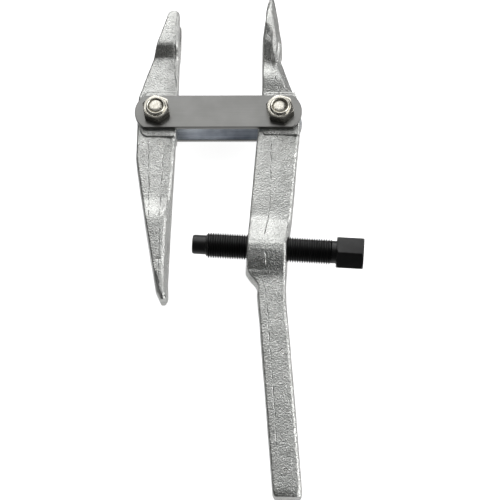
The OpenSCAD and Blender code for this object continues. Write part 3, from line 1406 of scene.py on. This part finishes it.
@dataclass
class Studio:
    """Camera, table and lights."""

    eye: Vector = field(default_factory=lambda: Vector((13.7, -482.7, 937.3)) * MM)
    target: Vector = field(default_factory=lambda: Vector((-18.3, -92.0, 16.8)) * MM)
    roll_deg: float = 0.8
    lens: float = 115.8
    # the light of the dim room, of its pale lower half, and of the background past the table
    surround: float = 0.06
    table_light: float = 0.70
    backdrop: float = 0.98
    boxes: tuple[SoftBox, ...] = (
        SoftBox("ceiling_box", (-0.32, 0.86, 1.08), (1.15, 1.05), 1.22, (-0.32, 0.86, 0.0)),
        SoftBox("zenith_box", (-0.05, 0.10, 1.25), (1.0, 0.40), 0.22, (-0.05, 0.10, 0.0)),
        SoftBox("back_box", (0.0, 1.85, 0.72), (2.4, 0.95), 1.7, (0.0, -0.05, 0.02)),
        SoftBox("right_box", (1.35, -0.05, 0.50), (1.5, 0.75), 3.0, (0.0, -0.05, 0.02)),
    )

    def camera(self) -> None:
        """Set up the camera."""
        data = bpy.data.cameras.new("camera")
        data.lens = self.lens
        data.sensor_width = 36.0
        data.clip_start, data.clip_end = 0.05, 20.0
        eye = bpy.data.objects.new("camera", data)
        away = (self.eye - self.target).normalized()
        right = Vector((0, 1, 0)).cross(away).normalized()
        up = away.cross(right)
        turn = Matrix((right, up, away)).transposed() @ Matrix.Rotation(math.radians(self.roll_deg), 3, "Z")
        eye.matrix_world = Matrix.Translation(self.eye) @ turn.to_4x4()
        bpy.context.scene.collection.objects.link(eye)
        bpy.context.scene.camera = eye

    def table(self) -> None:
        """Lay the pale table under the tool."""
        deselect()
        bpy.ops.mesh.primitive_plane_add(size=8.0, location=(0, 0, -0.3 * MM))
        top = added("table")
        top.data.materials.append(PaleSurface().material())
        top.visible_glossy = False

    def surroundings(self) -> None:
        """Set the dim room, its pale lower half that the metal mirrors, and the background past the table."""
        world = bpy.data.worlds.new("studio")
        world.use_nodes = True
        tree = world.node_tree
        tree.nodes.clear()
        heading = add_node(tree, "ShaderNodeTexCoord").outputs["Generated"]
        split = add_node(tree, "ShaderNodeSeparateXYZ", {0: heading})
        below = add_node(tree, "ShaderNodeMapRange",
                         {"Value": split.outputs["Z"], "From Min": -0.15, "From Max": -0.80,
                          "To Min": self.surround, "To Max": self.table_light})
        room = add_node(tree, "ShaderNodeBackground",
                        {"Color": (1, 1, 1, 1), "Strength": below.outputs["Result"]})
        backdrop = add_node(tree, "ShaderNodeBackground", {"Color": (1, 1, 1, 1), "Strength": self.backdrop})
        seen = add_node(tree, "ShaderNodeLightPath")
        mixed = add_node(tree, "ShaderNodeMixShader", {0: seen.outputs["Is Camera Ray"], 1: room.outputs[0],
                                                       2: backdrop.outputs[0]})
        add_node(tree, "ShaderNodeOutputWorld", {"Surface": mixed.outputs[0]})
        bpy.context.scene.world = world

    def build(self) -> None:
        """Set up camera, table and lights."""
        self.camera()
        self.table()
        self.surroundings()
        for box in self.boxes:
            box.build()
        view = bpy.context.scene.view_settings
        view.view_transform = "Standard"
        view.look = "None"


# ---------------------------------------------------------------- the tool


def pivot_of(side: str) -> Vector:
    """Find where an arm's pivot axis meets the middle plane.

    Args:
        side: fork or lever.

    Returns:
        The point.
    """
    joint = next(j for j in frame["joints"] if j["name"] == f"{side}_arm_pivot")
    return Vector(joint["pos_m"])


def main() -> None:
    """Build the tool and the studio in order."""
    logging.basicConfig(level=logging.INFO, stream=sys.stdout, format="%(name)s: %(message)s")
    Studio().build()
    LinkPlates().build()
    PivotSet("fork", recess_mm=0.5, nut_turn_deg=40.0).build()
    PivotSet("lever", recess_mm=1.3, nut_turn_deg=46.0).build()
    ForkArm(node="fork_arm", body=Body.FORK, pivot=pivot_of("fork"),
            left_edge=[(5, 73), (3.5, 66), (-13, 13), (-13, -30), (-12, -38), (-6.5, -70), (-1, -100),
                       (3, -121), (6, -127)],
            right_edge=[(12, 73), (13, 71.5), (13, -5), (12.5, -15), (11.5, -60), (10.5, -115), (10, -127)],
            pad=(-10.6, 12.6, -16.7, 16.8), right_facet_deg=11.0,
            finish=PlatedForging(name="Shot-blasted zinc-plated fork forging", laps=(
                ((-83.6, -20), (-82.6, -50), (-81.4, -76)),
                ((-73.6, -19), (-74.6, -48), (-74.8, -72), (-73.8, -118)),
                ((-67.4, 62), (-69.4, 38), (-69.0, 33), (-66.6, 18)))),
            run_out_mm=1.3,
            sawn=[(-127, 8), (-122, 10), (-73, 10), (-55, 6.5), (43, 6.5), (47.5, 14), (71, 14), (73, 12)],
            forged=[(-127, 8.2), (-125, 8.3), (-100, 9.3), (-76, 10.9), (-72, 10.7), (-67, 8.5), (-65, 8.4),
                    (-60, 6.5), (-40, 6.5), (0, 6.5), (30, 6.4), (41, 6.5), (42.5, 7.2), (46, 13.0),
                    (47.5, 13.8), (50, 14), (70, 14), (73, 13)],
            left_lean=[(-127, 0.4), (-110, 0.9), (-60, 0.9), (0, 0.7), (43, 0.6), (73, 0.4)],
            right_lean=[(-127, 1.2), (-118, 2.4), (-80, 2.6), (-60, 1.6), (-40, 0.9), (-20, 0.6), (20, 0.5),
                        (43, 0.4), (73, 0.2)]).build()
    LeverArm(node="lever_arm", body=Body.LEVER, pivot=pivot_of("lever"),
             left_edge=[(-6.5, 84), (-9.5, 72), (-11.3, 52), (-12, 47), (-12, 18), (-15.4, -21),
                        (-19.6, -80), (-21, -108), (-20, -112), (-15, -119), (-13.8, -124), (-12.3, -140),
                        (-4.8, -230), (-3.3, -248), (-2, -250)],
             right_edge=[(-5, 84), (-3.5, 77), (0, 61), (1.2, 55), (1.2, 40), (3, 34), (7.5, 21),
                         (10.5, 12), (13, 4), (13, -10), (12, -20), (8, -72), (5.3, -90), (5, -106),
                         (4.7, -128), (8.3, -169), (14.2, -244), (13, -250)],
             pad=(-11.4, 12.4, -15.5, 15.6), pad_corner_mm=3.0, flat=(-1.2, 0.14), right_facet_deg=6.0,
             edge_bevel_mm=0.65,
             finish=PlatedForging(name="Shot-blasted zinc-plated lever forging", laps=(
                 ((-5.0, 10), (-5.6, -20), (-5.8, -60), (-6.8, -72), (-8.8, -86)),
                 ((-10.9, -113), (-8.5, -121), (-6.9, -137), (-2.6, -192), (-1.0, -220)),
                 ((-3.0, 26), (-1.2, 17))), scratches=(((-8.9, -99.5), (-8.3, -103), (-8.2, -106)),)),
             grain_mm=0.55, softening=6, run_out_mm=2.3,
             sawn=[(-250, 5), (-246, 6.5), (-110, 6.5), (-109.7, 6.4), (-98, 11.7), (-95, 13),
                   (-91.2, 13.5), (-87.4, 13), (-84.4, 11.7), (-72.7, 6.4), (-72.4, 6.5), (34, 6.5),
                   (43, 10.5), (51, 14), (70, 14), (78, 13), (84, 11)],
             forged=[(-250, 6.2), (-249, 6.5), (-114, 6.5), (-111.5, 6.7), (-108, 8.5), (-105, 10.2),
                     (-102, 11.6), (-99, 12.6), (-96, 13.15), (-93, 13.4), (-91, 13.0), (-88.5, 12.0),
                     (-85, 10.4), (-83, 10.3), (-74, 6.7), (-72, 6.5), (10, 6.5), (14, 5.7), (23, 8.6),
                     (27, 9.0), (32, 8.6), (36, 8.6), (45.5, 14.3), (54, 14.4), (70, 14), (78, 13),
                     (84, 11)],
             left_lean=[(-250, 0.5), (-125, 0.6), (-118, 1.6), (-108, 1.4), (-100, 0.5), (84, 0.5)],
             right_lean=[(-250, 0.7), (-60, 0.8), (15, 0.5), (84, 0.5)]).build()
    PressureScrew().build()


if __name__ == "__main__":
    main()
